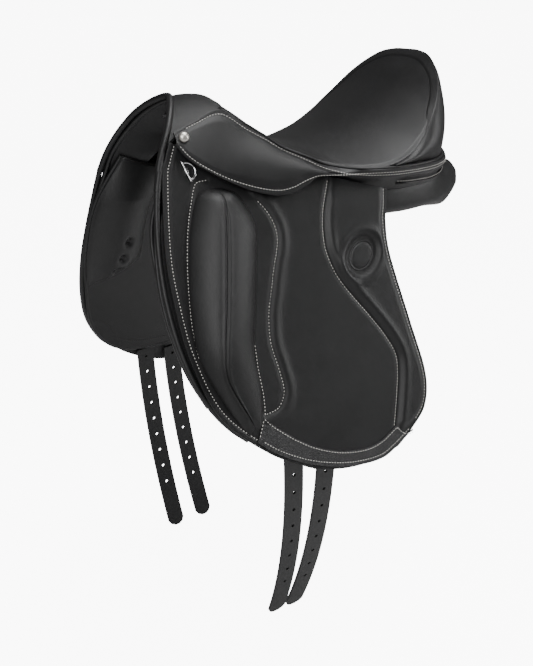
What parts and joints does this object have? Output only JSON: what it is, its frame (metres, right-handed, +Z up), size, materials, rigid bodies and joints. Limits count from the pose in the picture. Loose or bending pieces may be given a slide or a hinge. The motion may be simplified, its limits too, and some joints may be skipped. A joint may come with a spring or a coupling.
{
  "type": "english saddle",
  "caption": "Dressage-style english saddle with deep seat, long straight-cut flaps, external thigh blocks, lifting skirts, stirrup bars and long girth straps.",
  "frame": {"origin": "roof of the gullet under the deepest part of the seat, where a rack carries the saddle", "axes": "+X to the cantle, +Y to the off (right) side, +Z up"},
  "size_m": [0.5284, 0.5018, 0.8006],
  "materials": {
    "leather": "black saddle leather, smooth, soft sheen",
    "padded_leather": "soft black leather over padding",
    "grained_leather": "black leather with a pebbled grain",
    "chrome": "polished",
    "steel": "forged and zinc plated",
    "laminate": "bent birch laminate",
    "webbing": "woven webbing",
    "foam": "foam sheet"
  },
  "bodies": {
    "root": {"tree": "laminate", "head_plate": "steel", "seat_webs": "webbing", "seat_foam": "foam", "seat_cover": "leather", "seat_welt": "leather", "head_cover": "leather", "head_roll": "leather", "cantle_strip": "leather", "tree_spring_near": "steel", "tree_spring_off": "steel", "skirt_band_near": "leather", "skirt_band_off": "leather", "stud_near": "chrome", "stud_off": "chrome", "stirrup_bar_near": "steel", "stirrup_bar_off": "steel", "catch_pin_near": "steel", "catch_pin_off": "steel", "flap_top_near": "leather", "flap_top_off": "leather", "dee_staple_near": "chrome", "dee_staple_off": "chrome", "sweat_flap_near": "leather", "sweat_flap_off": "leather", "girth_web_near": "webbing", "girth_web_off": "webbing", "strap_top_near": "leather", "strap_top_off": "leather", "point_pocket_near": "leather", "point_pocket_off": "leather", "lining_near": "padded_leather", "lining_off": "padded_leather", "panel_near": "padded_leather", "panel_off": "padded_leather", "gusset_near": "leather", "gusset_off": "leather", "panel_ties_near": "leather", "panel_ties_off": "leather"},
    "skirt_near": {"skirt_near": "leather"},
    "flap_near": {"flap_near": "leather", "thigh_block_near": "padded_leather", "badge_near": "leather", "flap_patch_near": "grained_leather"},
    "strap_front_near": {"strap_front_near": "leather"},
    "strap_rear_near": {"strap_rear_near": "leather"},
    "dee_near": {"dee_near": "chrome"},
    "bar_catch_near": {"bar_catch_near": "steel"},
    "skirt_off": {"skirt_off": "leather"},
    "flap_off": {"flap_off": "leather", "thigh_block_off": "padded_leather", "badge_off": "leather", "flap_patch_off": "grained_leather"},
    "strap_front_off": {"strap_front_off": "leather"},
    "strap_rear_off": {"strap_rear_off": "leather"},
    "dee_off": {"dee_off": "chrome"},
    "bar_catch_off": {"bar_catch_off": "steel"}
  },
  "joints": [
    {"name": "skirt_lift_near", "type": "hinge", "parent": "root", "child": "skirt_near", "pos_m": [-0.10289, -0.10859, 0.03283], "axis": [-0.9265, 0.2888, 0.2414], "range_deg": [0, 70]},
    {"name": "flap_lift_near", "type": "hinge", "parent": "root", "child": "flap_near", "pos_m": [-0.07657, -0.12121, -0.02283], "axis": [-0.9401, 0.233, 0.2487], "range_deg": [0, 35]},
    {"name": "front_strap_swing_near", "type": "hinge", "parent": "root", "child": "strap_front_near", "pos_m": [-0.11743, -0.21992, -0.32234], "axis": [1, 0, 0], "range_deg": [0, 20]},
    {"name": "rear_strap_swing_near", "type": "hinge", "parent": "root", "child": "strap_rear_near", "pos_m": [-0.06744, -0.22467, -0.32818], "axis": [1, 0, 0], "range_deg": [0, 20]},
    {"name": "dee_swing_near", "type": "hinge", "parent": "root", "child": "dee_near", "pos_m": [-0.19331, -0.08988, 0.01979], "axis": [0.2807, -0.4052, -0.8701], "range_deg": [0, 100]},
    {"name": "bar_catch_turn_near", "type": "hinge", "parent": "root", "child": "bar_catch_near", "pos_m": [-0.10262, -0.10917, 0.002], "axis": [-0.1454, -0.9269, 0.3461], "range_deg": [0, 55]},
    {"name": "skirt_lift_off", "type": "hinge", "parent": "root", "child": "skirt_off", "pos_m": [-0.10289, 0.10859, 0.03283], "axis": [0.9265, 0.2888, -0.2414], "range_deg": [0, 70]},
    {"name": "flap_lift_off", "type": "hinge", "parent": "root", "child": "flap_off", "pos_m": [-0.07657, 0.12121, -0.02283], "axis": [0.9401, 0.233, -0.2487], "range_deg": [0, 35]},
    {"name": "front_strap_swing_off", "type": "hinge", "parent": "root", "child": "strap_front_off", "pos_m": [-0.11743, 0.21992, -0.32234], "axis": [-1, 0, 0], "range_deg": [0, 20]},
    {"name": "rear_strap_swing_off", "type": "hinge", "parent": "root", "child": "strap_rear_off", "pos_m": [-0.06744, 0.22467, -0.32818], "axis": [-1, 0, 0], "range_deg": [0, 20]},
    {"name": "dee_swing_off", "type": "hinge", "parent": "root", "child": "dee_off", "pos_m": [-0.19331, 0.08988, 0.01979], "axis": [-0.2807, -0.4052, 0.8701], "range_deg": [0, 100]},
    {"name": "bar_catch_turn_off", "type": "hinge", "parent": "root", "child": "bar_catch_off", "pos_m": [-0.10262, 0.10917, 0.002], "axis": [0.1454, -0.9269, -0.3461], "range_deg": [0, 55]}
  ]
}
